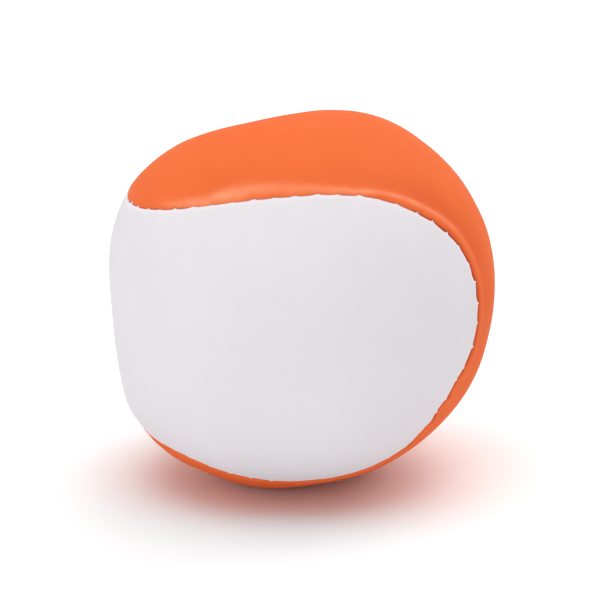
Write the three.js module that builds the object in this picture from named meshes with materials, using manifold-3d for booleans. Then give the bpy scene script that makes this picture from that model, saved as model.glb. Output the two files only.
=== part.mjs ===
// A two-panel footbag: a white and an orange peanut-shaped panel, sewn edge to edge along one closed
// seam like the cover of a tennis ball, and part filled with plastic pellets.
// Millimetres, +Z up. The origin is the middle of the flat that the bag rests on, below its centre.
// The white lobes face front (-Y) and back, the orange lobes lie at top and bottom.
import * as THREE from "three";
import Module from "manifold-3d";

const wasm = await Module();
wasm.setup();

// Driving dimensions of the cover, in millimetres and degrees
const BAG_RADIUS = 26.2;
const REST_FLAT_DEPTH = 1.2; // how far the bag's own weight flattens its underside
const LEAN = 3; // of the panels to the left about the Y axis, as the bag lies
const NOD = 2; // of the panels forward about the X axis
const NECK_WIDTH = 27.9; // across a panel between its two lobes
const LOBE_SQUARENESS = 3; // 1 gives pointed lobes, higher values squarer ones
const WHITE_SHARE_BIAS = 0.1; // above 0 the white panel covers more than half

// Soft hollows (below 0) and bulges where the loose filling lets the cover give.
// Each lies on the outline seen from the front, at an angle from the right-hand side, counter-clockwise.
const VIEW_ELEVATION = 18;
const HANDLING = [
  { name: "right_bulge", around: 20, height: 0.7, spread: 24 },
  { name: "shoulder_bulge", around: 60, height: 0.3, spread: 24 },
  { name: "top_hollow", around: 100, height: -2.9, spread: 26 },
  { name: "left_flat", around: 185, height: -2.0, spread: 24 },
  { name: "left_corner", around: 214, height: 0.8, spread: 9 },
  { name: "lower_left_corner", around: 229, height: 0.6, spread: 9 },
  { name: "underside_flat", around: 280, height: -1.0, spread: 18 },
  { name: "lower_right_flat", around: 310, height: -0.45, spread: 18 },
];

// Where the seam strays towards orange (above 0) or white, at a distance from the front lobe's tip:
// below 0 over the top of the lobe, above 0 under it
const SEAM_DRIFT_SPREAD = 7;
const SEAM_DRIFT = [
  { along: -70, across: -0.45 },
  { along: -34, across: -0.15 },
  { along: -24, across: 0.2 },
  { along: -8, across: 0.9 },
  { along: 11, across: -2.7 },
  { along: 24, across: 0.45 },
  { along: 38, across: 0.6 },
  { along: 48, across: -0.35 },
  { along: 65, across: -2.6 },
];

// Sheet, seam and thread
const SHEET = 0.8;
const THREAD = 0.4;
const THREAD_CLEARANCE = 0.2; // round the thread, in its channel under the fold
const HOLE_CLEARANCE = 0.03; // round the thread, where it passes tightly through the sheet
const SEAM_GAP = 0.3; // between the folded edges of the two panels
const SEAM_ALLOWANCE = 4.5; // from the seam line to the cut edge, folded back under the panel
const STITCH_PITCH = 2.72;
const STITCH_DEPTH = 0.8; // of a stitch's top below the cover, in the seam groove
const FILL_OPENING = 24.5; // length of seam that is left open for filling, then sewn by hand
const OPENING_PLACE = 4; // from the front lobe's tip to the start of that stretch

// Filling
const PELLET_DIAMETER = 3.6;
const PELLET_THICKNESS = 2.6;
const PELLET_GAP = 0.3; // between pellets, and under them
const PELLET_COUNT = 52;
const PELLET_SCATTER = 1.09; // spacing of the loose pellets; below 1 they would touch
const PELLET_TILT = 20; // of the loose pellets at most, each its own way
const BED_LEVEL = 0.5; // of the packed bed's top below the filling's centre
const BED_RIPPLE = 0.5; // height of the pebbled top of the bed
const FILL_CLEARANCE = 0.3; // between the filling and the inside of the cover

// How finely the surfaces are divided
const SEAM_COLUMNS = 64;
const WALL_ROWS = 6;
const LINING_ROWS = 3;
const SEAM_SAMPLES = 1440;
const THREAD_SIDES = 4;
const HOLE_SIDES = 4;
const PELLET_SIDES = 6;
const BED_SIDES = 24;
const BED_BOWL_ROWS = 7;
const BED_TOP_ROWS = 9;

// Sizes that follow from the ones above
const THREAD_CHANNEL = THREAD + 2 * THREAD_CLEARANCE;
const FOLD_RADIUS = SHEET + THREAD_CHANNEL / 2;
const FOLD_DEPTH = 2 * FOLD_RADIUS;
const FOLD_MIDDLE = FOLD_RADIUS + SEAM_GAP / 2; // from the seam line to the centre of a fold
const THREAD_INSET = FOLD_MIDDLE + THREAD / 2 + THREAD_CLEARANCE / 2; // of the thread's runs inside the folds
const REST_HEIGHT = BAG_RADIUS - REST_FLAT_DEPTH; // of the bag's centre above the floor
const STITCH_SLOPE = Math.atan2(FOLD_RADIUS - STITCH_DEPTH, THREAD_INSET); // from a fold up to the groove

const DEGREE = Math.PI / 180;
const ROOT_STEPS = 60;
const LINE_STEP = 0.05; // along the seam, to measure its heading
const TURN = new THREE.Matrix4().makeRotationY(-LEAN * DEGREE);
TURN.multiply(new THREE.Matrix4().makeRotationX(NOD * DEGREE));

// Looks of the four materials
const whiteSheet = new THREE.MeshStandardMaterial({ color: 0xe6e3e8, roughness: 0.5, metalness: 0 });
const orangeSheet = new THREE.MeshStandardMaterial({ color: 0xf5733d, roughness: 0.42, metalness: 0 });
const paleThread = new THREE.MeshStandardMaterial({ color: 0xf0e4e0, roughness: 0.7, metalness: 0 });
const pelletPlastic = new THREE.MeshStandardMaterial({ color: 0xdedbd2, roughness: 0.35, metalness: 0 });

// The cover's outer surface

// Where each hollow and bulge lies, as seen from the front and a little above
const handled = HANDLING.map(({ around, height, spread }) => {
  const rise = VIEW_ELEVATION * DEGREE;
  const across = Math.cos(around * DEGREE);
  const upward = Math.sin(around * DEGREE);
  const place = new THREE.Vector3(across, upward * Math.sin(rise), upward * Math.cos(rise));
  return { place, height, spread: spread * DEGREE };
});

// Outer radius of the cover from the bag's centre, along a unit direction
function coverRadius(direction) {
  let radius = BAG_RADIUS;
  for (const { place, height, spread } of handled) {
    radius += height * Math.exp(-((place.angleTo(direction) / spread) ** 2));
  }
  return direction.z < 0 ? Math.min(radius, REST_HEIGHT / -direction.z) : radius;
}

// A point at a height above (or, below 0, under) the cover, along a direction in the panels' own frame
function coverPoint(ownDirection, height) {
  const direction = ownDirection.clone().applyMatrix4(TURN);
  return direction.multiplyScalar(coverRadius(direction) + height);
}

// The seam

// In the panels' own frame the seam is where y^2 - z^2 equals a pull that grows along x
const neckAngle = Math.asin(NECK_WIDTH / 2 / BAG_RADIUS);
const seamPull = Math.sin(neckAngle) ** 2 / Math.cos(neckAngle) ** LOBE_SQUARENESS;

function pullAt(x) {
  return seamPull * Math.sign(x) * Math.abs(x) ** LOBE_SQUARENESS - WHITE_SHARE_BIAS;
}

// How far along x the white lobes (1) or the orange ones (-1) reach
function lobeTip(facing) {
  let inside = 0;
  let outside = 1;
  for (let step = 0; step < ROOT_STEPS; step++) {
    const middle = (inside + outside) / 2;
    if (1 - middle * middle > facing * pullAt(facing * middle)) inside = middle;
    else outside = middle;
  }
  return facing * inside;
}
const whiteTip = lobeTip(1);
const orangeTip = lobeTip(-1);

// The seam's direction at 0 to 4: front tip, bottom tip, back tip, top tip and round to the front again
function seamDirection(quarter) {
  const turn = (Math.PI * quarter) / 2;
  const x = (whiteTip + orangeTip) / 2 + ((whiteTip - orangeTip) / 2) * Math.cos(2 * turn);
  const y = Math.sqrt(Math.max(0, (1 - x * x + pullAt(x)) / 2));
  const z = Math.sqrt(Math.max(0, (1 - x * x - pullAt(x)) / 2));
  return new THREE.Vector3(x, -y * Math.sign(Math.cos(turn)), -z * Math.sign(Math.sin(turn))).normalize();
}

// Quarters against the distance along the seam from the front lobe's tip, on the unruffled ball
const seamQuarters = [0];
const seamDistances = [0];
for (let sample = 1; sample <= SEAM_SAMPLES; sample++) {
  const quarter = (4 * sample) / SEAM_SAMPLES;
  const step = seamDirection(quarter).angleTo(seamDirection(seamQuarters[sample - 1])) * BAG_RADIUS;
  seamQuarters.push(quarter);
  seamDistances.push(seamDistances[sample - 1] + step);
}
const SEAM_LENGTH = seamDistances[SEAM_SAMPLES];

// The seam's direction at a distance from the front lobe's tip, before it strays
function evenSeam(distance) {
  const along = THREE.MathUtils.euclideanModulo(distance, SEAM_LENGTH);
  const next = Math.max(1, seamDistances.findIndex((reached) => reached >= along));
  const share = (along - seamDistances[next - 1]) / (seamDistances[next] - seamDistances[next - 1]);
  return seamDirection(THREE.MathUtils.lerp(seamQuarters[next - 1], seamQuarters[next], share));
}

// The direction across a line on the ball, from white to orange
function acrossLine(line, distance) {
  const heading = line(distance + LINE_STEP).sub(line(distance - LINE_STEP));
  return line(distance).cross(heading).normalize();
}

function strayedSeam(distance) {
  const half = SEAM_LENGTH / 2;
  const fromTip = THREE.MathUtils.euclideanModulo(distance + half, SEAM_LENGTH) - half;
  let drift = 0;
  for (const { along, across } of SEAM_DRIFT) {
    drift += across * Math.exp(-(((fromTip - along) / SEAM_DRIFT_SPREAD) ** 2));
  }
  return directionAcross({ middle: evenSeam(distance), across: acrossLine(evenSeam, distance) }, drift);
}

// A place on the seam: its direction, the direction across it, and where it would lie if it didn't stray
function seamStation(distance) {
  return {
    middle: strayedSeam(distance),
    across: acrossLine(strayedSeam, distance),
    even: evenSeam(distance),
  };
}

function directionAcross({ middle, across }, offset) {
  const angle = offset / BAG_RADIUS;
  return middle.clone().multiplyScalar(Math.cos(angle)).addScaledVector(across, Math.sin(angle));
}

function seamPoint(station, offset, height) {
  return coverPoint(directionAcross(station, offset), height);
}

// Solids

function solidOf(positions, triangles) {
  return new wasm.Manifold(
    new wasm.Mesh({
      numProp: 3,
      vertProperties: Float32Array.from(positions.flatMap((point) => point.toArray())),
      triVerts: Uint32Array.from(triangles.flat()),
    }),
  );
}

function geometryOf(solid) {
  const mesh = solid.getMesh();
  const geometry = new THREE.BufferGeometry();
  geometry.setAttribute("position", new THREE.BufferAttribute(mesh.vertProperties, 3));
  geometry.setIndex(new THREE.BufferAttribute(mesh.triVerts, 1));
  geometry.computeVertexNormals();
  return geometry;
}

// A tube along straight runs, mitred where they meet
function tubeSolid(route, diameter, sides) {
  const headings = route.slice(1).map((point, run) => point.clone().sub(route[run]).normalize());
  const side = new THREE.Vector3(0, 0, 1).cross(headings[0]).normalize();
  const up = headings[0].clone().cross(side);
  let ring = Array.from({ length: sides }, (_, corner) => {
    const angle = (2 * Math.PI * (corner + 0.5)) / sides;
    return route[0]
      .clone()
      .addScaledVector(side, (Math.cos(angle) * diameter) / 2)
      .addScaledVector(up, (Math.sin(angle) * diameter) / 2);
  });
  const positions = [...ring];
  route.slice(1).forEach((point, run) => {
    const heading = headings[run];
    const mitre = heading.clone().add(headings[run + 1] ?? heading).normalize();
    ring = ring.map((corner) => {
      const reach = point.clone().sub(corner).dot(mitre) / heading.dot(mitre);
      return corner.clone().addScaledVector(heading, reach);
    });
    positions.push(...ring);
  });
  const triangles = [];
  for (let run = 0; run < headings.length; run++) {
    for (let corner = 0; corner < sides; corner++) {
      const a = run * sides + corner;
      const b = run * sides + ((corner + 1) % sides);
      triangles.push([a, b, b + sides], [a, b + sides, a + sides]);
    }
  }
  const last = headings.length * sides;
  for (let corner = 1; corner < sides - 1; corner++) {
    triangles.push([0, corner + 1, corner], [last, last + corner, last + corner + 1]);
  }
  return solidOf(positions, triangles);
}

// The panels

// The middle line of a panel: round the left side for the white one, round the right for the orange one
const SPINE_END = 88 * DEGREE;
const SAME_ANGLE = 1e-5; // two columns whose spine angles differ by less than this share a point there
const panelSpine = {
  white: ({ x, y }) => {
    const angle = THREE.MathUtils.clamp(Math.atan2(y, -x), -SPINE_END, SPINE_END);
    return { angle, direction: new THREE.Vector3(-Math.cos(angle), Math.sin(angle), 0) };
  },
  orange: ({ x, z }) => {
    const angle = THREE.MathUtils.clamp(Math.atan2(z, x), -SPINE_END, SPINE_END);
    return { angle, direction: new THREE.Vector3(Math.cos(angle), 0, Math.sin(angle)) };
  },
};

// A direction part of the way along the shortest arc between two others
function between(from, to, share) {
  const angle = from.angleTo(to);
  return from
    .clone()
    .multiplyScalar(Math.sin((1 - share) * angle))
    .addScaledVector(to, Math.sin(share * angle))
    .divideScalar(Math.sin(angle));
}

// Corners round the outside of a fold, placed so that each stitch hole lies within one of its faces
const HOLE_FACE = 60 * DEGREE;
const FOLD_ANGLES = [Math.PI / 2, STITCH_SLOPE + HOLE_FACE / 2, STITCH_SLOPE - HOLE_FACE / 2, -Math.PI / 2];

// Points down one column of a panel: out from the spine, round the folded edge, under it to the cut
// edge of the seam allowance, back inside the fold, and home along the inside of the sheet
function panelColumn(station, colour) {
  const side = colour === "white" ? -1 : 1;
  const spine = panelSpine[colour](station.even);
  const foldStart = directionAcross(station, side * FOLD_MIDDLE);
  const wall = (rows, row, height) => coverPoint(between(spine.direction, foldStart, row / rows), height);
  const foldPoint = (radius, angle) => {
    const offset = FOLD_MIDDLE - radius * Math.cos(angle);
    return seamPoint(station, side * offset, radius * Math.sin(angle) - FOLD_RADIUS);
  };
  const points = [];
  for (let row = 1; row < WALL_ROWS; row++) points.push(wall(WALL_ROWS, row, 0));
  for (const angle of FOLD_ANGLES) points.push(foldPoint(FOLD_RADIUS, angle));
  points.push(seamPoint(station, side * SEAM_ALLOWANCE, -FOLD_DEPTH));
  points.push(seamPoint(station, side * SEAM_ALLOWANCE, SHEET - FOLD_DEPTH));
  points.push(foldPoint(FOLD_RADIUS - SHEET, -Math.PI / 2), foldPoint(FOLD_RADIUS - SHEET, Math.PI / 2));
  for (let row = LINING_ROWS - 1; row > 0; row--) points.push(wall(LINING_ROWS, row, -SHEET));
  return { spine, points };
}

function panelSolid(colour) {
  const positions = [];
  const spineVertices = new Map();
  const spineVertex = ({ angle, direction }, height) => {
    const key = `${Math.round(angle / SAME_ANGLE)} ${height}`;
    if (!spineVertices.has(key)) spineVertices.set(key, positions.push(coverPoint(direction, height)) - 1);
    return spineVertices.get(key);
  };
  const columns = Array.from({ length: SEAM_COLUMNS }, (_, column) => {
    const { spine, points } = panelColumn(seamStation((column / SEAM_COLUMNS) * SEAM_LENGTH), colour);
    const middle = points.map((point) => positions.push(point) - 1);
    return [spineVertex(spine, 0), ...middle, spineVertex(spine, -SHEET)];
  });
  const triangles = [];
  columns.forEach((here, column) => {
    const next = columns[(column + 1) % SEAM_COLUMNS];
    const [left, right] = colour === "white" ? [next, here] : [here, next];
    for (let row = 0; row < left.length - 1; row++) {
      const faces = [
        [left[row], left[row + 1], right[row + 1]],
        [left[row], right[row + 1], right[row]],
      ];
      triangles.push(...faces.filter((face) => new Set(face).size === 3));
    }
  });
  return solidOf(positions, triangles);
}

// The stitches

// The three points of one stitch: in the white fold, at its top in the groove, and in the orange fold
function stitchPoints(distance) {
  const station = seamStation(distance);
  return [
    seamPoint(station, -THREAD_INSET, -FOLD_RADIUS),
    seamPoint(station, 0, -STITCH_DEPTH),
    seamPoint(station, THREAD_INSET, -FOLD_RADIUS),
  ];
}

const openingStitches = Math.round(FILL_OPENING / STITCH_PITCH);
const stitchCount = Math.round(SEAM_LENGTH / STITCH_PITCH);
const stitchStep = SEAM_LENGTH / stitchCount;
const stitches = Array.from({ length: stitchCount }, (_, stitch) =>
  stitchPoints(OPENING_PLACE + stitch * stitchStep),
);

// One unbroken thread: each stitch crosses the groove, then the thread runs inside the fold to the next
function threadSolid(sewn) {
  const route = sewn.flatMap((points, stitch) => (stitch % 2 ? [...points].reverse() : points));
  return tubeSolid(route, THREAD, THREAD_SIDES);
}

// Holes for the stitches through the fold of one panel
function stitchHoles(colour) {
  const acrossCorners = (THREAD + 2 * HOLE_CLEARANCE) / Math.cos(Math.PI / HOLE_SIDES);
  const holes = stitches.map(([inWhite, top, inOrange]) =>
    tubeSolid([colour === "white" ? inWhite : inOrange, top], acrossCorners, HOLE_SIDES),
  );
  return wasm.Manifold.union(holes);
}

// The filling

// Points on the inside of the cover: on the folded seam allowances, and on the wall between them
const innerPoints = Array.from({ length: SEAM_COLUMNS }, (_, column) => {
  const station = seamStation((column / SEAM_COLUMNS) * SEAM_LENGTH);
  const fold = [0, SEAM_ALLOWANCE, -SEAM_ALLOWANCE].map((offset) => seamPoint(station, offset, -FOLD_DEPTH));
  const wall = ["white", "orange"].flatMap((colour) => {
    const { direction } = panelSpine[colour](station.even);
    return [0, 0.5].map((share) => coverPoint(between(direction, station.middle, share), -SHEET));
  });
  return [...fold, ...wall];
}).flat();

// The filling is what fits in the largest ball that can roll round inside the cover: the ball's centre
// backs away from whatever lies nearest, in ever shorter steps
const SEAT_STEPS = 400;
const LONGEST_SEAT_STEP = 0.5;
function seatFilling() {
  const centre = new THREE.Vector3();
  const nearest = () =>
    innerPoints.reduce((best, point) => (point.distanceTo(centre) < best.distanceTo(centre) ? point : best));
  for (let step = SEAT_STEPS; step > 0; step--) {
    const away = centre.clone().sub(nearest()).setLength((LONGEST_SEAT_STEP * step) / SEAT_STEPS);
    centre.add(away);
  }
  return { centre, radius: nearest().distanceTo(centre) - FILL_CLEARANCE };
}
const filling = seatFilling();

// The packed lower pellets, which move as one: a bowl with a pebbled top
function bedGeometry() {
  const rim = Math.acos(BED_LEVEL / filling.radius);
  const rimRadius = filling.radius * Math.sin(rim);
  const profile = [];
  for (let row = 0; row <= BED_BOWL_ROWS; row++) {
    const angle = (rim * row) / BED_BOWL_ROWS;
    profile.push(new THREE.Vector2(filling.radius * Math.sin(angle), -filling.radius * Math.cos(angle)));
  }
  for (let row = BED_TOP_ROWS - 1; row >= 0; row--) {
    const ripple = row % 2 ? -BED_RIPPLE : 0;
    profile.push(new THREE.Vector2((rimRadius * row) / BED_TOP_ROWS, ripple - BED_LEVEL));
  }
  return new THREE.LatheGeometry(profile, BED_SIDES).rotateX(Math.PI / 2);
}

// One pellet: a short lentil
function pelletGeometry() {
  const half = PELLET_THICKNESS / 2;
  const radius = PELLET_DIAMETER / 2;
  const shoulder = 0.72;
  const profile = [
    [0, -half],
    [radius * shoulder, -half * shoulder],
    [radius, 0],
    [radius * shoulder, half * shoulder],
    [0, half],
  ].map(([out, up]) => new THREE.Vector2(out, up));
  return new THREE.LatheGeometry(profile, PELLET_SIDES).rotateX(Math.PI / 2);
}

// Loose pellets scattered over the bed in a sunflower spiral, so that none touch
const GOLDEN_TURN = Math.PI * (3 - Math.sqrt(5));
function loosePellets() {
  const geometry = pelletGeometry();
  const spacing = (PELLET_DIAMETER + PELLET_GAP) * PELLET_SCATTER;
  const tilt = PELLET_TILT * DEGREE;
  const halfHeight = Math.hypot(
    (PELLET_THICKNESS / 2) * Math.cos(tilt),
    (PELLET_DIAMETER / 2) * Math.sin(tilt),
  );
  return Array.from({ length: PELLET_COUNT }, (_, pellet) => {
    const out = spacing * Math.sqrt((pellet + 0.5) / Math.PI);
    const turn = pellet * GOLDEN_TURN;
    const mesh = new THREE.Mesh(geometry, pelletPlastic);
    mesh.name = `pellet_${String(pellet + 1).padStart(2, "0")}`;
    mesh.position.set(out * Math.cos(turn), out * Math.sin(turn), halfHeight + PELLET_GAP - BED_LEVEL);
    mesh.rotation.set(tilt * Math.sin(2 * turn), 0, 3 * turn, "ZXY");
    return mesh;
  });
}

// Assembly

function named(name, geometry, material) {
  const mesh = new THREE.Mesh(geometry, material);
  mesh.name = name;
  return mesh;
}

const cover = new THREE.Group();
cover.add(
  named("white_panel", geometryOf(panelSolid("white").subtract(stitchHoles("white"))), whiteSheet),
  named("orange_panel", geometryOf(panelSolid("orange").subtract(stitchHoles("orange"))), orangeSheet),
  named("closing_thread", geometryOf(threadSolid(stitches.slice(0, openingStitches))), paleThread),
  named("seam_thread", geometryOf(threadSolid(stitches.slice(openingStitches))), paleThread),
);

const fill = new THREE.Group();
fill.position.copy(filling.centre);
fill.add(named("pellet_bed", bedGeometry(), pelletPlastic), ...loosePellets());

const footbag = new THREE.Group();
footbag.position.z = REST_HEIGHT;
footbag.add(cover, fill);

export default footbag;
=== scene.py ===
# A two-panel footbag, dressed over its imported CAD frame. Metres at the end, millimetres on the way.
import math

import bmesh
import bpy
import numpy as np
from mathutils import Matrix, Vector, noise


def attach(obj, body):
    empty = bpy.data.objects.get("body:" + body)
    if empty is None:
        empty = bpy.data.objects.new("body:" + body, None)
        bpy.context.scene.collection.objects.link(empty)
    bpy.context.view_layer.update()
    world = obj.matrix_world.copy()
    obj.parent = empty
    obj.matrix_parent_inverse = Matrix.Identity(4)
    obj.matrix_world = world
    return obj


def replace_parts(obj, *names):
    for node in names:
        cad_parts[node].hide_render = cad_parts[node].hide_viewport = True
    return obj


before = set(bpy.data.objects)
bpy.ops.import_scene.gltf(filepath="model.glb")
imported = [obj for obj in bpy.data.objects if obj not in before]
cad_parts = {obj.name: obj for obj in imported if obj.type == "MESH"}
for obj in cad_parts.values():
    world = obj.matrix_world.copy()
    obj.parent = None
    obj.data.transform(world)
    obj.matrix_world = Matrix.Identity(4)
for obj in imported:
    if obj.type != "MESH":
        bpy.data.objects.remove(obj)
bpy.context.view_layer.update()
scene = bpy.context.scene

MM = 0.001
RANDOM_SEED = 11
SEED_STRIDE = 2.3  # how far apart two seeds lie in the noise, across for each step along

# The bag's outside, as in the part's source
BAG_RADIUS = 26.2
REST_HEIGHT = 25.0  # of the bag's centre above the floor
LEAN = math.radians(3)
NOD = math.radians(2)
NECK_WIDTH = 27.9
LOBE_SQUARENESS = 3
WHITE_SHARE_BIAS = 0.1
VIEW_ELEVATION = math.radians(18)
# Each hollow or bulge: degrees round the outline from the right, height, spread in degrees
HANDLING = [
    (20, 0.7, 24),
    (60, 0.3, 24),
    (100, -2.9, 26),
    (185, -2.0, 24),
    (214, 0.8, 9),
    (229, 0.6, 9),
    (280, -1.0, 18),
    (310, -0.45, 18),
]
# Where the seam strays: distance along from the front lobe's tip, distance across towards orange
SEAM_DRIFT = [
    (-70, -0.45),
    (-34, -0.15),
    (-24, 0.2),
    (-8, 0.9),
    (11, -2.7),
    (24, 0.45),
    (38, 0.6),
    (48, -0.35),
    (65, -2.6),
]
SEAM_DRIFT_SPREAD = 7

# Slight unevenness of the cover, each as noise: size, turns on the unit ball, seed
UNEVEN = [(0.16, 2.6, 4.0), (0.07, 6.0, 9.0)]
# How softly the cover bends into the flat that it rests on, and what keeps that flat finite above
FLAT_SOFTNESS = 0.7
LEAST_DOWN = 1e-6
FARTHEST_FLAT = 1000

# The sheet, the flap of its edge that is turned in under the panel, and how deep the fold reaches
SHEET = 0.8
FLAP = 0.55
SEAM_ALLOWANCE = 3.6
FOLD_DEPTH = 2.2

# The stitches, and the hand-sewn ones that close the bag: place of the first, number
STITCH_PITCH = 2.72
OPENING_PLACE = 4
OPENING_STITCHES = 9
THREAD = 0.34

# The filling
FILL_CENTRE = np.array([0, -1.73, 25.06])
FILL_RADIUS = 22.0
BED_LEVEL = 0.5
PELLET_DIAMETER = 3.6
PELLET_THICKNESS = 2.6
PELLET_FULLNESS = 0.85  # below 1 a pellet's sides are fuller than an ellipsoid's
PELLET_GAP = 0.12
PACK_REACH = 8  # rows and columns of packed pellets to each side of the middle
WELD_DISTANCE = 1e-5
PELLET_SMOOTHING = 2

# How finely the surfaces are divided
SEAM_SAMPLES = 2880
COLUMNS_PER_STITCH = 12
COARSE_STEP = 4
INNER_ROWS = 16
LINING_ROWS = 4
LINING_SPAN = 4.5  # steps of a lining row from the panel's spine to the inner edge of its band
SPINE_END = math.radians(88)
SPINE_KEYS = 1e5  # steps in a radian: columns whose spine angles round to the same step share a point
HALVINGS = 60  # in the search for a lobe's tip
LINE_STEP = 0.05  # along the seam, to measure its heading
ROUTE_STEPS = 4  # from one knot of a thread to the next

rng = np.random.default_rng(RANDOM_SEED)


def hill(x, width):
    """1 at 0, falling smoothly towards 0 beyond the width on either side."""
    return np.exp(-((x / width) ** 2))


def noise_at(points, size, turns, seed):
    """Smooth noise of a size at each point on the unit ball."""
    shift = Vector((seed, SEED_STRIDE * seed, 0))
    return size * np.array([noise.noise(Vector(p) * turns + shift) for p in points])


def turned(v):
    """Directions in the panels' own frame, nodded forward about X and leaned to the left about Y."""
    c, s = math.cos(NOD), math.sin(NOD)
    x, y, z = v[:, 0], v[:, 1] * c - v[:, 2] * s, v[:, 1] * s + v[:, 2] * c
    c, s = math.cos(-LEAN), math.sin(-LEAN)
    return np.stack([x * c + z * s, y, z * c - x * s], 1)


def cover_radius(d):
    """Outer radius of the cover along unit directions, with the flat that it rests on."""
    r = np.full(len(d), BAG_RADIUS)
    for around, height, spread in HANDLING:
        a = math.radians(around)
        place = np.array(
            [math.cos(a), math.sin(a) * math.sin(VIEW_ELEVATION), math.sin(a) * math.cos(VIEW_ELEVATION)]
        )
        angle = np.arccos(np.clip(d @ place, -1, 1))
        r += height * hill(angle, math.radians(spread))
    r += sum(noise_at(d, *uneven) for uneven in UNEVEN)
    down = np.maximum(-d[:, 2], LEAST_DOWN)
    flat = np.minimum(REST_HEIGHT / down, FARTHEST_FLAT)
    share = np.clip(0.5 + 0.5 * (flat - r) / FLAT_SOFTNESS, 0, 1)
    return flat * (1 - share) + r * share - FLAT_SOFTNESS * share * (1 - share)


def cover_points(own, height):
    """Points above the cover, about the bag's centre, for directions in the panels' own frame."""
    d = turned(own)
    r = cover_radius(d) + height
    return d * r[:, None]


# The seam, as a curve on the unit ball in the panels' own frame
neck = math.asin(NECK_WIDTH / 2 / BAG_RADIUS)
PULL = math.sin(neck) ** 2 / math.cos(neck) ** LOBE_SQUARENESS


def seam_pull(x):
    return PULL * np.sign(x) * np.abs(x) ** LOBE_SQUARENESS - WHITE_SHARE_BIAS


def lobe_tip(facing):
    """How far along x a white (1) or orange (-1) lobe reaches."""
    low, high = 0.0, 1.0
    for _ in range(HALVINGS):
        middle = (low + high) / 2
        inside = 1 - middle**2 > facing * seam_pull(facing * middle)
        low, high = (middle, high) if inside else (low, middle)
    return facing * low


TIP_WHITE, TIP_ORANGE = lobe_tip(1), lobe_tip(-1)


def seam_direction(p):
    """The seam at 0 to 4: front tip, bottom tip, back tip, top tip, and round again."""
    x = (TIP_WHITE + TIP_ORANGE) / 2 + (TIP_WHITE - TIP_ORANGE) / 2 * np.cos(math.pi * p)
    y = np.sqrt(np.maximum((1 - x * x + seam_pull(x)) / 2, 0))
    z = np.sqrt(np.maximum((1 - x * x - seam_pull(x)) / 2, 0))
    y, z = -y * np.sign(np.cos(math.pi * p / 2)), -z * np.sign(np.sin(math.pi * p / 2))
    v = np.stack([x, y, z], 1)
    return v / np.linalg.norm(v, axis=1, keepdims=True)


shares = np.linspace(0, 4, SEAM_SAMPLES + 1)
dense = seam_direction(shares)
steps = np.arccos(np.clip((dense[1:] * dense[:-1]).sum(1), -1, 1)) * BAG_RADIUS
travelled = np.concatenate([[0], np.cumsum(steps)])
SEAM_LENGTH = travelled[-1]
STITCHES = round(SEAM_LENGTH / STITCH_PITCH)
PITCH = SEAM_LENGTH / STITCHES


def even_seam(distance):
    return seam_direction(np.interp(distance % SEAM_LENGTH, travelled, shares))


def across_line(line, distance):
    """Directions across a line on the ball, from white to orange."""
    across = np.cross(line(distance), line(distance + LINE_STEP) - line(distance - LINE_STEP))
    return across / np.linalg.norm(across, axis=1, keepdims=True)


def offset_direction(middle, across, offset):
    angle = (np.asarray(offset, float) / BAG_RADIUS).reshape(-1, 1)
    return middle * np.cos(angle) + across * np.sin(angle)


def from_tip(distance):
    """Distance along the seam from the front lobe's tip: below 0 over the lobe, above 0 under it."""
    return (distance + SEAM_LENGTH / 2) % SEAM_LENGTH - SEAM_LENGTH / 2


def strayed_seam(distance):
    drift = np.zeros(len(distance))
    for along, across in SEAM_DRIFT:
        drift += across * hill(from_tip(distance - along), SEAM_DRIFT_SPREAD)
    return offset_direction(even_seam(distance), across_line(even_seam, distance), drift)


def seam_stations(distance):
    """Directions on the seam, and the directions across it from white to orange."""
    return strayed_seam(distance), across_line(strayed_seam, distance)


# How the stitches vary: depth and reach as shares of the usual, and how far one slips along the seam
LEAST_DEPTH, DEPTH_SPREAD = 0.75, 0.5
LEAST_REACH, REACH_SPREAD = 0.25, 0.95
SLIP_SPREAD = 0.5
# How much more the hand-sewn ones slip and sink
HAND_SLIP = 1.6
HAND_DEPTH = 1.25
# Stretches where the stitches hardly show and where they show most: place, half length, change of reach
SHOWING = [(-57, 4, -0.7), (43, 4, 2.0)]

stitch_depth = LEAST_DEPTH + DEPTH_SPREAD * rng.random(STITCHES)
stitch_slip = (rng.random(STITCHES) - 0.5) * SLIP_SPREAD
stitch_slip[:OPENING_STITCHES] *= HAND_SLIP
stitch_depth[:OPENING_STITCHES] *= HAND_DEPTH
stitch_place = OPENING_PLACE + PITCH * np.arange(STITCHES) + stitch_slip
stitch_reach = LEAST_REACH + REACH_SPREAD * rng.random(STITCHES)
for place, half, change in SHOWING:
    stitch_reach *= 1 + change * hill(from_tip(stitch_place - place), half)


def pull_of_stitches(distance, width):
    """From 0 midway between stitches to about 1 at each stitch."""
    gap = from_tip(distance[:, None] - stitch_place[None, :])
    return (stitch_reach * hill(gap, width)).sum(1)


# The panels: side of the seam, distance from the seam line and how a stitch shifts it, size of the rolled
# edge, how strongly the soft fold along the seam shows, and how much longer the sheet is than its seam
STYLE = {
    "white": {
        "side": -1, "gap": 0.03, "nip": -0.2, "round": 0.4, "depth": 0.36, "fold": 0.1, "gather": 0.01,
    },
    "orange": {
        "side": 1, "gap": 0.05, "nip": 0.2, "round": 0.7, "depth": 0.6, "fold": 1.0, "gather": 0.04,
    },
}
# The finely divided band along the seam
BAND_WIDTH = 6.5
BAND_STEP = 0.36
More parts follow.
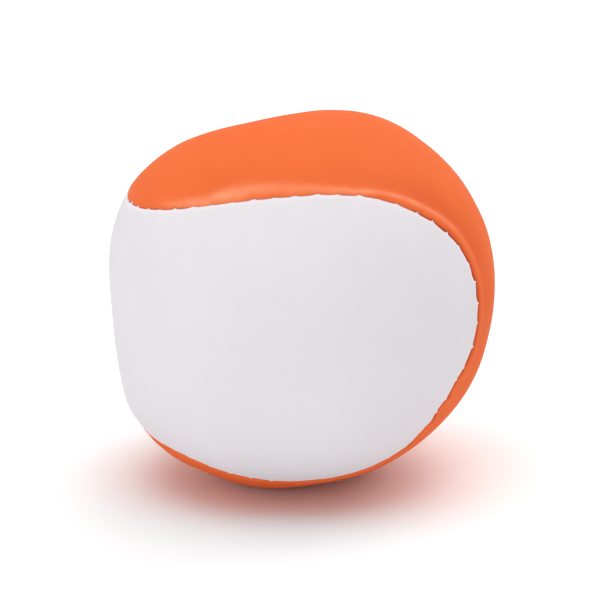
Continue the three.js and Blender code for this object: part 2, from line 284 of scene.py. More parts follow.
# The soft fold along the seam: distance from the front lobe's tip, distance of the crest from the edge,
# half width of the crest, how strongly a highlight is painted on it, how high it stands, how deep the hollow
# beyond it is
FOLD = [
    (-131, 1.0, 0.6, 0.3, 0.12, 0.1),
    (-118, 0.6, 0.5, 0.6, 0.15, 0.05),
    (-104, 1.3, 0.8, 0.8, 0.18, 0.08),
    (-88, 0.7, 0.6, 0.3, 0.12, 0.05),
    (-74, 1.2, 0.7, 0.4, 0.05, 0.05),
    (-58, 1.0, 0.5, 0.0, 0.05, 0.0),
    (-54, 0.9, 0.5, 0.0, 0.08, 0.0),
    (-50.5, 0.6, 0.7, 0.6, 0.12, 0.0),
    (-46.5, 0.6, 0.85, 0.85, 0.15, 0.05),
    (-41, 1.4, 1.15, 0.9, 0.2, 0.05),
    (-37, 1.4, 1.0, 0.5, 0.2, 0.05),
    (-32, 0.7, 0.8, 0.45, 0.2, 0.05),
    (-27, 0.5, 0.5, 0.85, 0.2, 0.1),
    (-23, 0.95, 0.35, 0.75, 0.2, 0.15),
    (-18.5, 1.25, 0.45, 0.7, 0.2, 0.25),
    (-15, 1.4, 0.5, 0.6, 0.2, 0.32),
    (-10, 1.5, 0.6, 0.2, 0.15, 0.3),
    (-4, 1.5, 0.6, 0.0, 0.08, 0.2),
    (4, 1.2, 0.6, 0.0, 0.06, 0.08),
    (30, 1.0, 0.6, 0.0, 0.1, 0.0),
    (56, 1.0, 0.6, 0.0, 0.05, 0.0),
    (61, 1.0, 0.6, 0.0, -0.25, 0.0),
    (67, 0.8, 0.6, 0.2, 0.05, 0.0),
    (78, 1.3, 0.7, 0.6, 0.15, 0.08),
    (92, 0.6, 0.5, 0.4, 0.12, 0.05),
    (108, 1.2, 0.8, 0.7, 0.18, 0.1),
    (121, 0.8, 0.5, 0.4, 0.15, 0.08),
]
# The fold starts to fall this far before its crest, and has fallen this far beyond it
FOLD_LEAD = 0.2
FOLD_FALL = 1.3
# How far beyond the crest the hollow is deepest, how far it reaches on its near and far side, and how much
# shade is painted into it
HOLLOW_PLACE = 1.1
HOLLOW_NEAR = 0.9
HOLLOW_FAR = 2.3
HOLLOW_SHADE = 0.8
# Noise along the seam: the stray of the edges, the strength of the fold and the patches of the highlight
# painted on its crest
EDGE_WAVER = (0.07, 9.0, 3.0)
SWELL = (0.25, 4.0, 7.0)
PATCHES = (0.55, 16.0, 6.0)
# How far along the seam a stitch pulls, the most that pulls add up to, and how far in from the edge they act
STITCH_WIDTH = 0.38
MOST_PULL = 2.6
NIP_REACH = 0.6
# The line of shade painted along the orange edge, in the groove: its width, how much wider it is round the
# front lobe's tip, and how far along the seam from there
GROOVE = 0.1
WIDE_GROOVE = 0.25
WIDE_GROOVE_REACH = 17
# How dark that painted shade line is, as distance from the front lobe's tip and share, and the noise that
# breaks it
DARK_LINE = [(-76, 1.0), (-66, 0.4), (-50, 0.35), (-44, -0.25), (-26, -0.25), (-18, 0.25), (-9, 1.0)]
LINE_BREAKS = (0.5, 9.0, 5.0)
# How much shallower the rolled edges and how much narrower the slit between them is where it doesn't show
SHALLOW = 0.75
CLOSED = 0.95
# The white edge: place and width of the highlight painted along it, width of the shade painted in its groove
WHITE_PALE_PLACE = 0.2
WHITE_PALE_WIDTH = 0.3
WHITE_GROOVE = 0.12
# Rows round the rolled edge, above and below its outermost line, and how far in the lower ones roll
UPPER_ANGLES = np.radians([90, 78, 66, 55, 45, 35, 25, 15, 6])
LOWER_ANGLES = np.radians([0, -30, -65])
LOWER_ROUND = 0.9
# The rest of the turned-in flap, and the start of the panel's inside: distance from the edge, height
UNDERSIDE = [
    (1.1, -FOLD_DEPTH),
    (SEAM_ALLOWANCE, -FOLD_DEPTH),
    (SEAM_ALLOWANCE, FLAP - FOLD_DEPTH),
    (1.5, FLAP - FOLD_DEPTH),
    (1.5, -1.1),
    (3.2, -SHEET),
]
# Stretches of seam that are gathered most: distance from the front lobe's tip, half length
GATHERS = [(-48.5, 3.0), (-30, 2.0), (14, 5.0), (60, 4.0), (105, 5.0), (-95, 4.0)]
LEAST_GATHER = 0.08
GATHER_REACH = 2.5  # how far in from the edge the sheet is gathered
# What holds the cloth: its rows furthest from the seam, and its edge: how far along the seam a stitch holds,
# the pull above which it holds fully, and how far the edge is held between
HELD_ROWS = 2
HOLD_WIDTH = 0.6
HOLD_ABOVE = 0.6
HOLD_BETWEEN = 0.3
# Cloth pass: the simulation's size of a millimetre, its frames and quality, the sheet's mass and stiffness,
# the pressure of the filling, the longest move that is kept, and the longest wave along the seam that is kept
CLOTH_MM = 0.04
CLOTH_FRAMES = 20
CLOTH_QUALITY = 8
CLOTH_MASS = 0.3
STRETCH_STIFFNESS = 40
SHEAR_STIFFNESS = 20
BEND_STIFFNESS = 2
CLOTH_PRESSURE = 4.0
CLOTH_CAP = 0.35
LONGEST_PUCKER = 9.0


def spine_of(colour, middle):
    """Angles and directions on the line along a panel's middle, beside directions on the seam."""
    if colour == "white":
        a = np.clip(np.arctan2(middle[:, 1], -middle[:, 0]), -SPINE_END, SPINE_END)
        return a, np.stack([-np.cos(a), np.sin(a), np.zeros(len(a))], 1)
    a = np.clip(np.arctan2(middle[:, 2], middle[:, 0]), -SPINE_END, SPINE_END)
    return a, np.stack([np.cos(a), np.zeros(len(a)), np.sin(a)], 1)


def between(start, end, share):
    """Directions at a share of the way from start to end over the ball."""
    angle = np.arccos(np.clip((start * end).sum(1), -1, 1)).reshape(-1, 1)
    return (start * np.sin((1 - share) * angle) + end * np.sin(share * angle)) / np.sin(angle)


class Rings:
    """A closed skin made of rings of points, each with all the columns or every fourth one."""

    def __init__(self):
        self.points, self.rings, self.marks = [], [], []

    def add(self, points, marks=(0.0, 0.0)):
        start = sum(len(p) for p in self.points)
        self.points.append(points)
        self.marks.append(np.broadcast_to(marks, (len(points), 2)))
        self.rings.append(np.arange(start, start + len(points)))

    def add_spine(self, keys, points):
        """A ring that lies folded on a line, with one point where keys are the same."""
        start = sum(len(p) for p in self.points)
        seen, kept, ids = {}, [], []
        for key, point in zip(keys, points):
            if key not in seen:
                seen[key] = start + len(kept)
                kept.append(point)
            ids.append(seen[key])
        self.points.append(np.array(kept))
        self.marks.append(np.zeros((len(kept), 2)))
        self.rings.append(np.array(ids))

    def faces(self):
        made = []
        for upper, lower in zip(self.rings, self.rings[1:]):
            n, m = len(upper), len(lower)
            if n == m:
                made += [(upper[i], upper[(i + 1) % n], lower[(i + 1) % n], lower[i]) for i in range(n)]
                continue
            few, many, turned_over = (upper, lower, False) if n < m else (lower, upper, True)
            k = len(many) // len(few)
            for i in range(len(few)):
                a, b = few[i], few[(i + 1) % len(few)]
                run = [many[(i * k + j) % len(many)] for j in range(k + 1)]
                half = k // 2
                fan = [(a, run[j + 1], run[j]) for j in range(half)]
                fan += [(a, b, run[half])]
                fan += [(b, run[j + 1], run[j]) for j in range(half, k)]
                made += [tuple(reversed(f)) for f in fan] if turned_over else fan
        tidy = (tuple(dict.fromkeys(int(i) for i in f)) for f in made)
        return [f for f in tidy if len(f) > 2]


def smooth_step(low, high, value):
    t = np.clip((value - low) / (high - low), 0, 1)
    return t * t * (3 - 2 * t)


def gathered(distance):
    """From near 0 where the seam lies flat to 1 where it is gathered most."""
    total = np.full(len(distance), LEAST_GATHER)
    for place, half in GATHERS:
        total += hill(from_tip(distance - place), half)
    return total


def fold_along(distance):
    """The soft fold's crest distance, half width, strength of its painted highlight, height and hollow at
    even steps on the seam.
    """
    table = np.array(FOLD)
    reach = COLUMNS_PER_STITCH // 2
    out = []
    for column in table.T[1:]:
        values = np.interp(distance, table[:, 0], column, period=SEAM_LENGTH)
        out.append(sum(np.roll(values, k) for k in range(-reach, reach + 1)) / (2 * reach + 1))
    return out


def settled(rows, held, tight, gather):
    """How far out each point of a ring-shaped strip moves, let go as cloth between its held points.

    Where the strip isn't tight, its sheet is longer than the seam by the share gather, so it buckles.
    """
    deep, wide = rows.shape[:2]
    mesh = bpy.data.meshes.new("settling")
    ids = np.arange(deep * wide).reshape(deep, wide)
    right = np.roll(ids, -1, axis=1)
    quads = np.stack([ids[:-1], right[:-1], right[1:], ids[1:]], -1).reshape(-1, 4)
    start = rows.reshape(-1, 3)
    mesh.from_pydata((start * CLOTH_MM).tolist(), [], quads.tolist())
    first = mesh.polygons[0]
    if first.normal.dot(first.center) < 0:
        mesh.flip_normals()
    strip = bpy.data.objects.new("settling", mesh)
    scene.collection.objects.link(strip)
    for name, weights in (("held", held), ("tight", tight)):
        group = strip.vertex_groups.new(name=name)
        for i, weight in enumerate(weights.reshape(-1)):
            group.add([i], float(weight), "REPLACE")
    cloth = strip.modifiers.new("cloth", "CLOTH")
    cloth.point_cache.frame_end = CLOTH_FRAMES
    cloth.collision_settings.use_collision = False
    sheet = cloth.settings
    sheet.quality = CLOTH_QUALITY
    sheet.mass = CLOTH_MASS
    sheet.tension_stiffness = sheet.compression_stiffness = STRETCH_STIFFNESS
    sheet.shear_stiffness = SHEAR_STIFFNESS
    sheet.bending_stiffness = BEND_STIFFNESS
    sheet.use_pressure = True
    sheet.uniform_pressure_force = CLOTH_PRESSURE
    sheet.vertex_group_mass = "held"
    sheet.vertex_group_shrink = "tight"
    sheet.shrink_min, sheet.shrink_max = -gather, 0
    sheet.effector_weights.gravity = 0
    for number in range(1, CLOTH_FRAMES + 1):
        scene.frame_set(number)
    moved = strip.evaluated_get(bpy.context.evaluated_depsgraph_get()).data
    end = np.empty(len(start) * 3, np.float32)
    moved.vertices.foreach_get("co", end)
    scene.frame_set(1)
    bpy.data.objects.remove(strip)
    bpy.data.meshes.remove(mesh)
    end = end.reshape(-1, 3).astype(float) / CLOTH_MM
    out = np.linalg.norm(end, axis=1) - np.linalg.norm(start, axis=1)
    return out.reshape(deep, wide)


def puckers(out, wide):
    """The short waves of a settled strip along its rows, capped, and drawn out smoothly to more columns."""
    waves = np.fft.rfft(out, axis=1)
    waves[:, : int(SEAM_LENGTH / LONGEST_PUCKER)] = 0
    drawn = np.fft.irfft(waves, wide, axis=1) * wide / out.shape[1]
    return np.clip(drawn, -CLOTH_CAP, CLOTH_CAP)


def panel(colour):
    """The skin of one panel: its outside, its rolled edge, the flap turned in under it, and its inside."""
    style = STYLE[colour]
    side = style["side"]
    count = STITCHES * COLUMNS_PER_STITCH
    distance = np.arange(count) * SEAM_LENGTH / count
    middle, across = seam_stations(distance)
    waver = noise_at(middle, *EDGE_WAVER)
    nipped = style["nip"] * np.clip(pull_of_stitches(distance, STITCH_WIDTH), 0, MOST_PULL)
    groove = GROOVE + WIDE_GROOVE * hill(from_tip(distance), WIDE_GROOVE_REACH)
    dark = np.interp(distance, *np.array(DARK_LINE).T, period=SEAM_LENGTH)
    dark = np.clip(dark + noise_at(middle, *LINE_BREAKS), 0, 1)
    depth = style["depth"] * (1 - SHALLOW * (1 - dark))
    slit = style["gap"] * (1 - CLOSED * (1 - dark))
    size, turns, seed = SWELL
    swell = 1 + noise_at(middle, size, turns, seed + side)
    crest, crest_width, highlight_strength, rise, hollow = fold_along(distance)
    coarse = slice(None, None, COARSE_STEP)

    def in_hollow(from_edge):
        """From 0 outside the hollow beyond the fold to 1 where it is deepest."""
        away = from_edge - crest - HOLLOW_PLACE
        return hill(away, np.where(away < 0, HOLLOW_NEAR, HOLLOW_FAR))

    def band(from_edge, height, shaped=True):
        """Points at a distance in from the folded edge, raised by the soft fold."""
        if shaped:
            beyond = smooth_step(crest - FOLD_LEAD, crest + FOLD_FALL, from_edge)
            shape = rise * (1 - beyond) - hollow * in_hollow(from_edge)
            height = height + style["fold"] * swell * shape
        gap = slit + nipped * hill(from_edge, NIP_REACH)
        own = offset_direction(middle, across, side * (gap + from_edge) + waver)
        return cover_points(own, height)

    def pucker(reach):
        """The sheet beside the seam let go as cloth, held at its stitches and where it is tight beyond."""
        flat = np.stack([band(from_edge, 0.0)[coarse] for from_edge in reach])
        held = np.zeros(flat.shape[:2])
        held[:HELD_ROWS] = 1
        stitched = pull_of_stitches(distance[coarse], HOLD_WIDTH) > HOLD_ABOVE
        held[-1] = np.where(stitched, 1.0, HOLD_BETWEEN)
        near = hill(np.array(reach)[:, None], GATHER_REACH)
        tight_sheet = 1 - np.clip(gathered(distance[coarse]), 0, 1) * near
        return puckers(settled(flat, held, tight_sheet, style["gather"]), count)

    def hidden(from_edge, height):
        own = offset_direction(middle[coarse], across[coarse], side * (style["gap"] + from_edge))
        return cover_points(own, np.full(len(own), height))

    def marks(from_edge):
        """How strongly a highlight is painted over the crest of the fold (on the white, just in from the
        edge), and how much shade is painted in the groove and in the hollow beyond the fold.
        """
        if colour == "white":
            # White: a highlight painted just in from the edge, and shade painted at the edge
            painted_highlight = np.full(count, hill(from_edge - WHITE_PALE_PLACE, WHITE_PALE_WIDTH))
            return np.stack([painted_highlight, np.full(count, hill(from_edge, WHITE_GROOVE))], 1)
        # Orange: a highlight painted over the crest of the fold, broken into patches
        painted_highlight = highlight_strength * hill(from_edge - crest, crest_width)
        painted_highlight *= 1 + noise_at(offset_direction(middle, across, side * from_edge), *PATCHES)
        # Painted shade in the groove along the edge and in the hollow beyond the fold
        darkened = dark * hill(from_edge, groove) + HOLLOW_SHADE * hollow * in_hollow(from_edge)
        return np.stack([painted_highlight, darkened], 1)

    # The rows down inside the slit carry the full painted shade of the dark line, and no painted highlight
    in_groove = np.stack([np.zeros(count), dark], 1)
    skin = Rings()
    angle, spine = spine_of(colour, even_seam(distance[coarse]))
    keys = [int(round(a * SPINE_KEYS)) for a in angle]
    inner_edge = offset_direction(middle[coarse], across[coarse], side * (style["gap"] + BAND_WIDTH))
    skin.add_spine(keys, cover_points(spine, np.zeros(len(spine))))
    for row in range(1, INNER_ROWS):
        own = between(spine, inner_edge, row / INNER_ROWS)
        skin.add(cover_points(own, np.zeros(len(own))))
    rows = round((BAND_WIDTH - style["round"]) / BAND_STEP)
    reach = np.linspace(BAND_WIDTH, style["round"], rows + 1)
    bulges = pucker(reach)
    for from_edge, bulge in zip(reach[:-1], bulges):
        skin.add(band(from_edge, bulge), marks(from_edge))
    for a in UPPER_ANGLES:
        from_edge = style["round"] * (1 - math.cos(a))
        height = depth * (math.sin(a) - 1) + bulges[-1] * math.sin(a)
        skin.add(band(from_edge, height), marks(from_edge))
    for a in LOWER_ANGLES:
        height = (FOLD_DEPTH - depth) * math.sin(a) - depth
        skin.add(band(LOWER_ROUND * (1 - math.cos(a)), height, shaped=False), in_groove)
    for from_edge, height in UNDERSIDE:
        skin.add(hidden(from_edge, height))
    for row in range(LINING_ROWS, 0, -1):
        own = between(spine, inner_edge, row / LINING_SPAN)
        skin.add(cover_points(own, np.full(len(own), -SHEET)))
    skin.add_spine(keys, cover_points(spine, np.full(len(spine), -SHEET)))
    return skin


def mesh_object(name, points, faces, material):
    mesh = bpy.data.meshes.new(name)
    mesh.from_pydata([tuple(p) for p in points], [], faces)
    shape = bmesh.new()
    shape.from_mesh(mesh)
    bmesh.ops.recalc_face_normals(shape, faces=shape.faces)
    shape.to_mesh(mesh)
    shape.free()
    mesh.polygons.foreach_set("use_smooth", [True] * len(mesh.polygons))
    mesh.materials.append(material)
    made = bpy.data.objects.new(name, mesh)
    scene.collection.objects.link(made)
    return made


def in_row(points):
    """From millimetres about the bag's centre to metres in the row frame."""
    return (np.asarray(points) + [0, 0, REST_HEIGHT]) * MM


# Materials

SHEET_SHEEN = 0.025


class Finish:
    """A node material, with the nodes that feed its shader."""

    def __init__(self, name):
        self.material = bpy.data.materials.new(name)
        self.material.use_nodes = True
        self.tree = self.material.node_tree
        self.shader = self.tree.nodes["Principled BSDF"]
        self.place = self.node("ShaderNodeTexCoord").outputs["Object"]

    def node(self, kind, **sets):
        made = self.tree.nodes.new(kind)
        for key, value in sets.items():
            if key in made.inputs:
                made.inputs[key].default_value = value
            else:
                setattr(made, key, value)
        return made

    def link(self, start, end):
        self.tree.links.new(start, end)

    def texture(self, kind, output, **sets):
        """One output of a texture that lies in the object's own coordinates."""
        made = self.node(kind, **sets)
        self.link(self.place, made.inputs["Vector"])
        return made.outputs[output]

    def ramp(self, amount, dark, light, low=0.0, high=1.0):
        """A colour that goes from dark to light as the amount goes from low to high."""
        made = self.node("ShaderNodeValToRGB")
        for stop, position, colour in zip(made.color_ramp.elements, (low, high), (dark, light)):
            stop.position, stop.color = position, (*colour, 1)
        self.link(amount, made.inputs["Fac"])
        return made.outputs["Color"]

    def marked(self, before, attribute, colour, most):
        """A colour mixed towards another by up to a share, where the mesh is marked."""
        amount = self.node("ShaderNodeAttribute", attribute_name=attribute)
        share = self.node("ShaderNodeMath", operation="MULTIPLY")
        share.inputs[1].default_value = most
        self.link(amount.outputs["Fac"], share.inputs[0])
        mixed = self.node("ShaderNodeMix", data_type="RGBA")
        mixed.inputs["B"].default_value = (*colour, 1)
        self.link(share.outputs[0], mixed.inputs["Factor"])
        self.link(before, mixed.inputs["A"])
        return mixed.outputs["Result"]

    def paint(self, colour):
        self.link(colour, self.shader.inputs["Base Color"])

    def roughen(self, amount, smooth, rough, low=0.0, high=1.0):
        """Roughness that goes from smooth to rough as the amount goes from low to high."""
        made = self.node("ShaderNodeMapRange")
        for socket, value in (("From Min", low), ("From Max", high), ("To Min", smooth), ("To Max", rough)):
            made.inputs[socket].default_value = value
        self.link(amount, made.inputs["Value"])
        self.link(made.outputs["Result"], self.shader.inputs["Roughness"])

    def emboss(self, height, strength, distance):
        made = self.node("ShaderNodeBump", Strength=strength, Distance=distance)
        self.link(height, made.inputs["Height"])
        self.link(made.outputs["Normal"], self.shader.inputs["Normal"])


def coated_sheet(name, colour, shade, highlight_colour, painted_shade_colour, rough):
    """Smooth coated sheet with a faint grain and cloudy tone, with a highlight painted along the seam and
    shade painted in its groove.
    """
    finish = Finish(name)
    clouds = finish.texture("ShaderNodeTexNoise", "Fac", Scale=90.0, Detail=4.0, Roughness=0.55)
    tone = finish.ramp(clouds, shade, colour, low=0.32, high=0.7)
    # A painted highlight along the seam, then painted shade in the groove and hollow, over the sheet's cloudy
    # tone
    tone = finish.marked(tone, "painted_highlight", highlight_colour, most=0.95)
    finish.paint(finish.marked(tone, "groove", painted_shade_colour, most=0.8))
    smudge = finish.texture("ShaderNodeTexNoise", "Fac", Scale=220.0, Detail=3.0)
    finish.roughen(smudge, smooth=rough - 0.05, rough=rough + 0.06, low=0.3, high=0.7)
    grain = finish.node("ShaderNodeMath", operation="ADD")
    finish.link(finish.texture("ShaderNodeTexVoronoi", "Distance", Scale=3200.0), grain.inputs[0])
    finish.link(finish.texture("ShaderNodeTexNoise", "Fac", Scale=5200.0, Detail=2.0), grain.inputs[1])
    finish.emboss(grain.outputs[0], strength=0.16, distance=0.00006)
    finish.shader.inputs["Specular IOR Level"].default_value = SHEET_SHEEN
    return finish.material


def twisted_thread(name, colour, shade):
    finish = Finish(name)
    ply = finish.texture("ShaderNodeTexWave", "Fac", bands_direction="DIAGONAL", Scale=1500.0, Distortion=1.5)
    finish.paint(finish.ramp(ply, shade, colour))
    finish.emboss(ply, strength=0.5, distance=0.00005)
    finish.shader.inputs["Roughness"].default_value = 0.7
    return finish.material


def milky_plastic(name, colour, shade):
    finish = Finish(name)
    clouds = finish.texture("ShaderNodeTexNoise", "Fac", Scale=420.0, Detail=3.0)
    finish.paint(finish.ramp(clouds, shade, colour, low=0.3, high=0.7))
    finish.roughen(clouds, smooth=0.28, rough=0.5)
    finish.emboss(clouds, strength=0.2, distance=0.0001)
    return finish.material


def pale_floor(name, colour, shade):
    finish = Finish(name)
    clouds = finish.texture("ShaderNodeTexNoise", "Fac", Scale=6.0, Detail=2.0)
    finish.paint(finish.ramp(clouds, shade, colour))
    finish.shader.inputs["Roughness"].default_value = 0.9
    return finish.material


# Of each sheet's colours, the third is a highlight painted along the seam and the fourth a shade painted in
# the groove and, on the orange, in the hollow beyond its fold
WHITE = coated_sheet(
    "white_coated_sheet",
    colour=(0.744, 0.716, 0.75),
    shade=(0.724, 0.696, 0.725),
    highlight_colour=(0.82, 0.76, 0.80),
    painted_shade_colour=(0.66, 0.58, 0.60),
    rough=0.6,
)
ORANGE = coated_sheet(
    "orange_coated_sheet",
    colour=(0.815, 0.1555, 0.045),
    shade=(0.787, 0.1445, 0.0395),
    highlight_colour=(0.92, 0.3, 0.15),
    painted_shade_colour=(0.48, 0.048, 0.028),
    rough=0.62,
)
PALE_THREAD = twisted_thread("pale_thread", colour=(0.86, 0.78, 0.77), shade=(0.66, 0.56, 0.55))
MILKY = milky_plastic("milky_pellet_plastic", colour=(0.76, 0.74, 0.68), shade=(0.62, 0.60, 0.53))
PALE = pale_floor("pale_floor", colour=(0.96, 0.96, 0.96), shade=(0.93, 0.93, 0.93))

# Panels
for colour, material in (("white", WHITE), ("orange", ORANGE)):
    skin = panel(colour)
    cover = mesh_object(f"{colour}_cover", in_row(np.concatenate(skin.points)), skin.faces(), material)
    # Per point: how strongly a highlight is painted there, and how much shade is painted there
    for number, name in enumerate(("painted_highlight", "groove")):
        values = cover.data.attributes.new(name, "FLOAT", "POINT")
        values.data.foreach_set("value", np.concatenate(skin.marks)[:, number].astype(np.float32))
    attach(cover, "casing")
    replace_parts(cover, f"{colour}_panel")

# Threads

# One stitch, out of the white fold, over the groove and into the orange fold: distance across the seam and
# height of each knot
KNOT_OFFSETS = np.array([-1.3, -0.5, -0.1, 0.14, 0.3, 0.5, 1.3])
KNOT_HEIGHTS = np.array([-1.3, -0.75, -0.42, -0.28, -0.36, -0.75, -1.5])
# The knots that lie on the orange edge, and those that rise round the front lobe's tip
REACHING = slice(3, 5)
RISING = slice(2, 5)
# How far a stitch sinks for each unit of its depth above the usual depth
SINK = 0.5
USUAL_DEPTH = 0.95
# How much higher the stitches lie round the front lobe's tip, and how far along the seam from there
TIP_RISE = 0.2
TIP_RISE_REACH = 13
# How far a stitch leans along the seam, and how much thicker the hand-sewn thread is
HAND_LEAN = 0.35
MACHINE_LEAN = 0.1
HAND_THREAD = 1.15


def smooth_route(knots, per_span):
    """A rounded route through the knots."""
    k = np.asarray(knots)
    k = np.concatenate([[2 * k[0] - k[1]], k, [2 * k[-1] - k[-2]]])
    t = np.linspace(0, 1, per_span, endpoint=False)[:, None]
    out = []
    for a, b, c, d in zip(k, k[1:], k[2:], k[3:]):
        out.append(
            0.5 * (2 * b + (c - a) * t + (2 * a - 5 * b + 4 * c - d) * t**2 + (3 * b - 3 * c + d - a) * t**3)
        )
    return np.concatenate([*out, [k[-2]]])


def tube(route, diameter, sides=8):
    """Points and faces of a round thread along a route, closed at its ends."""
    heading = np.gradient(route, axis=0)
    heading /= np.linalg.norm(heading, axis=1, keepdims=True)
    side = np.cross([0, 0, 1], heading[0])
    side /= np.linalg.norm(side)
    points = []
    turn = np.linspace(0, 2 * math.pi, sides, endpoint=False)[:, None]
    for place, ahead in zip(route, heading):
        side = side - ahead * (side @ ahead)
        side /= np.linalg.norm(side)
        up = np.cross(ahead, side)
        points.append(place + (side * np.cos(turn) + up * np.sin(turn)) * diameter / 2)
    points = np.concatenate(points)
    faces = []
    for i in range(len(route) - 1):
        for j in range(sides):
            a, b = i * sides + j, i * sides + (j + 1) % sides
            faces.append((a, b, b + sides, a + sides))
    faces.append(tuple(reversed(range(sides))))
    faces.append(tuple(range(len(points) - sides, len(points))))
    return points, faces


def stitch_knots(number, hand):
    """Places of one stitch's knots, about the bag's centre."""
    lean = (HAND_LEAN if hand else MACHINE_LEAN) * (1 if number % 2 else -1)
    offsets = KNOT_OFFSETS.copy()
    offsets[REACHING] *= stitch_reach[number]
    heights = KNOT_HEIGHTS - SINK * (stitch_depth[number] - USUAL_DEPTH)
    heights[RISING] += TIP_RISE * hill(from_tip(stitch_place[number]), TIP_RISE_REACH)
    distance = stitch_place[number] + lean * offsets / offsets[-1]
    middle, across = seam_stations(distance)
    return cover_points(offset_direction(middle, across, offsets), heights)


def thread(name, numbers, hand):
    knots = []
    for n, number in enumerate(numbers):
        run = stitch_knots(number, hand)
        knots += list(run[::-1] if n % 2 else run)
    points, faces = tube(smooth_route(knots, ROUTE_STEPS), THREAD * (HAND_THREAD if hand else 1))
    made = mesh_object(name, in_row(points), faces, PALE_THREAD)
    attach(made, "casing")
    return made


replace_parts(thread("hand_closing_thread", range(OPENING_STITCHES), True), "closing_thread")
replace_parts(thread("machine_seam_thread", range(OPENING_STITCHES, STITCHES), False), "seam_thread")

# Filling


def lentil(sides=10, rows=6):
    """Points and faces of one rounded pellet about the origin."""
    points, faces = [(0, 0, -PELLET_THICKNESS / 2)], []
    turns = np.linspace(0, 2 * math.pi, sides, endpoint=False)
    for row in range(1, rows):
        a = math.pi * row / rows
        out = PELLET_DIAMETER / 2 * math.sin(a) ** PELLET_FULLNESS
        z = -PELLET_THICKNESS / 2 * math.cos(a)
        points += [(out * math.cos(t), out * math.sin(t), z) for t in turns]
    points.append((0, 0, PELLET_THICKNESS / 2))
    last = len(points) - 1
    for j in range(sides):
        k = (j + 1) % sides
        faces.append((0, 1 + k, 1 + j))
        for row in range(rows - 2):
            a, b = 1 + row * sides, 1 + (row + 1) * sides
            faces.append((a + j, a + k, b + k, b + j))
        a = 1 + (rows - 2) * sides
        faces.append((a + j, a + k, last))
    return np.array(points), faces


def pellet_places():
    """Close-packed places for whole pellets inside the bowl of packed filling."""
    step = PELLET_DIAMETER + PELLET_GAP
    rise = step * math.sqrt(2 / 3)
    room = FILL_RADIUS - PELLET_DIAMETER / 2
    span = range(-PACK_REACH, PACK_REACH + 1)
    places = []
    for layer in range(int(2 * room / rise)):
        z = -BED_LEVEL - PELLET_DIAMETER / 2 - layer * rise
        shift = (layer % 2) * step / 2
        for row in span:
            y = row * step * math.sqrt(3) / 2 + (layer % 2) * step / (2 * math.sqrt(3))
            for column in span:
                x = column * step + (row % 2) * step / 2 + shift
                if x * x + y * y + z * z < room * room:
                    places.append((x, y, z))
    return np.array(places)


def random_turns(count):
    """Rotation matrices, evenly spread over all the ways to turn."""
    q = rng.normal(size=(count, 4))
    w, x, y, z = (q / np.linalg.norm(q, axis=1, keepdims=True)).T
    return np.stack([
        np.stack([1 - 2 * (y * y + z * z), 2 * (x * y - z * w), 2 * (x * z + y * w)], -1),
        np.stack([2 * (x * y + z * w), 1 - 2 * (x * x + z * z), 2 * (y * z - x * w)], -1),
        np.stack([2 * (x * z - y * w), 2 * (y * z + x * w), 1 - 2 * (x * x + y * y)], -1),
    ], 1)


shape, shape_faces = lentil()
places = pellet_places()
heap_points, heap_faces = [], []
for place, turn in zip(places, random_turns(len(places))):
    start = len(heap_points) * len(shape)
    heap_points.append(shape @ turn.T + place + FILL_CENTRE)
    heap_faces += [tuple(i + start for i in face) for face in shape_faces]
heap = mesh_object("packed_pellets", np.concatenate(heap_points) * MM, heap_faces, MILKY)
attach(heap, "packed_fill")
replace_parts(heap, "pellet_bed")

# The loose pellets stay the CAD's own, rounded by modifiers
for name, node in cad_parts.items():
    if name.startswith("pellet_") and name != "pellet_bed":
        node.data.materials.clear()
        node.data.materials.append(MILKY)
        weld = node.modifiers.new("weld", "WELD")
        weld.merge_threshold = WELD_DISTANCE
        rounded = node.modifiers.new("rounded", "SUBSURF")
        rounded.levels = rounded.render_levels = PELLET_SMOOTHING

# Floor
FLOOR_REACH = 3
corners = [(-1, -1), (1, -1), (1, 1), (-1, 1)]
floor_mesh = bpy.data.meshes.new("floor")
floor_mesh.from_pydata([(x * FLOOR_REACH, y * FLOOR_REACH, 0) for x, y in corners], [], [(0, 1, 2, 3)])
floor_mesh.materials.append(PALE)
floor = bpy.data.objects.new("floor", floor_mesh)
scene.collection.objects.link(floor)

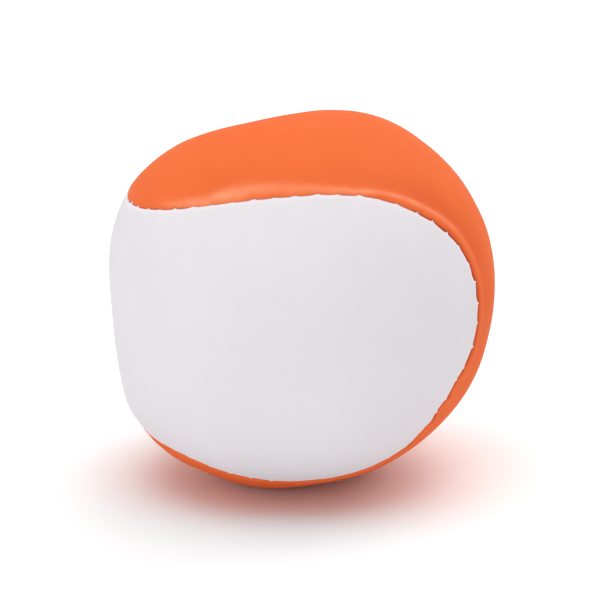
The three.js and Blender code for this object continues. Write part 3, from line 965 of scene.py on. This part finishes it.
# A bright room, and three broad soft lights: from above, low from the front left, and from behind and above
# on the right. Each has its energy, the degrees that it spreads over and the way that it shines
ROOM_LIGHT = 0.616
LIGHTS = [
    ("soft_overhead", 1.29, 60, (0.0, 0.05, -1.0)),
    ("soft_left", 0.69, 40, (0.75, 0.65, -0.12)),
    ("soft_rim", 0.96, 60, (-0.42, -0.62, -0.66)),
]
scene.view_settings.view_transform = "Standard"
world = bpy.data.worlds.new("studio")
world.use_nodes = True
room = world.node_tree.nodes["Background"]
room.inputs["Color"].default_value = (1, 1, 1, 1)
room.inputs["Strength"].default_value = ROOM_LIGHT
scene.world = world
for name, energy, angle, heading in LIGHTS:
    light = bpy.data.lights.new(name, "SUN")
    light.angle = math.radians(angle)
    light.energy = energy
    lamp = bpy.data.objects.new(name, light)
    lamp.rotation_mode = "QUATERNION"
    lamp.rotation_quaternion = Vector(heading).to_track_quat("-Z", "Y")
    scene.collection.objects.link(lamp)

# Camera: the photograph's angle; the bag's centre falls a little up and left of the picture's middle
AZIMUTH, ELEVATION, DISTANCE = math.radians(-3), math.radians(17.5), 0.42
PICTURE = 600
PIXELS_PER_METRE = 384.8 / 0.051
CENTRE_AT = (294.4, 294.8)
SENSOR_WIDTH = 36
CLIP_NEAR, CLIP_FAR = 0.01, 20
bag_centre = Vector((0, 0, REST_HEIGHT * MM))
level = math.cos(ELEVATION)
back = Vector((math.sin(AZIMUTH) * level, -math.cos(AZIMUTH) * level, math.sin(ELEVATION)))
right = Vector((math.cos(AZIMUTH), math.sin(AZIMUTH), 0))
up = back.cross(right)
aim = bag_centre + right * ((PICTURE / 2 - CENTRE_AT[0]) / PIXELS_PER_METRE)
aim += up * ((CENTRE_AT[1] - PICTURE / 2) / PIXELS_PER_METRE)
camera_data = bpy.data.cameras.new("camera")
camera_data.sensor_width = SENSOR_WIDTH
camera_data.lens = PIXELS_PER_METRE * DISTANCE / PICTURE * SENSOR_WIDTH
camera_data.clip_start, camera_data.clip_end = CLIP_NEAR, CLIP_FAR
camera = bpy.data.objects.new("camera", camera_data)
camera.location = aim + back * DISTANCE
camera.rotation_mode = "QUATERNION"
camera.rotation_quaternion = (-back).to_track_quat("-Z", "Y")
scene.collection.objects.link(camera)
scene.camera = camera
